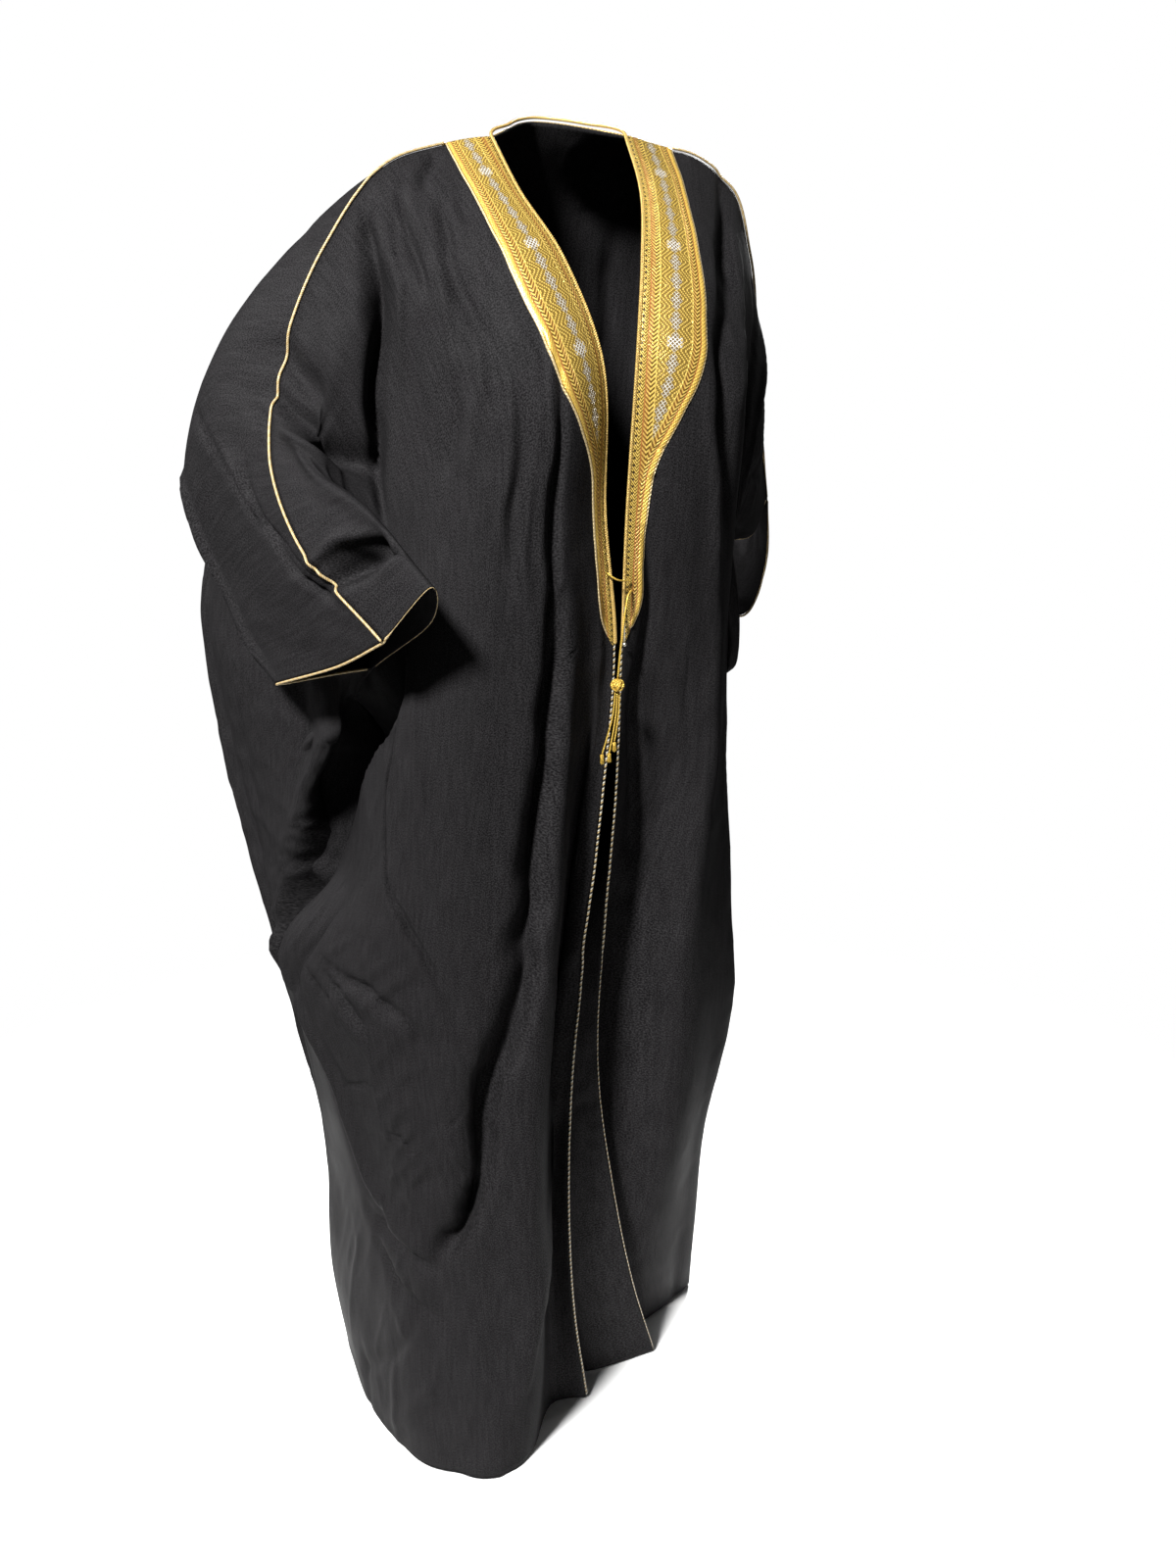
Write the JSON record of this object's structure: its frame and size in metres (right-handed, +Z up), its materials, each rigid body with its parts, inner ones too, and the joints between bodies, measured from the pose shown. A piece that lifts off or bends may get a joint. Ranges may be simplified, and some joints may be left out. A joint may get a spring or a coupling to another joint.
{
  "type": "bisht cloak",
  "caption": "Long open black cloak with wide sleeves, a woven gold band round the neck and down both fronts, gold piping and a knotted gold cord.",
  "frame": {"origin": "middle of the neck opening, at the height where the shoulders hold the cloak", "axes": "+Z up, -Y the way the wearer faces, +X the wearer's left"},
  "size_m": [0.6571, 0.457, 1.4683],
  "materials": {
    "black_cloth": "matt, finely woven",
    "gold_band": "metallic gold and silver thread",
    "gold_braid": "plaited metallic thread",
    "silver_gold_piping": "twisted silver, gold and black thread",
    "pale_gold_piping": "pale gold cord",
    "silver_thread": "silver metallic thread"
  },
  "bodies": {
    "root": {"front_right": "black_cloth", "front_left": "black_cloth", "back": "black_cloth", "band_right": "gold_band", "band_left": "gold_band", "band_neck": "gold_band", "band_cord": "gold_braid", "edge_piping_right": "silver_gold_piping", "edge_piping_left": "silver_gold_piping", "arm_piping_right": "pale_gold_piping", "arm_piping_left": "pale_gold_piping", "cuff_piping_right": "pale_gold_piping", "cuff_piping_left": "pale_gold_piping", "closure_loop": "gold_braid", "closure_cord": "gold_braid", "closure_knot": "gold_braid", "closure_tail_1": "gold_braid", "closure_tail_2": "gold_braid", "closure_tail_3": "gold_braid", "closure_tassel_1": "silver_thread", "closure_tassel_2": "silver_thread", "closure_tassel_3": "silver_thread", "closure_thread": "silver_thread", "closure_bead": "silver_thread"}
  },
  "joints": []
}
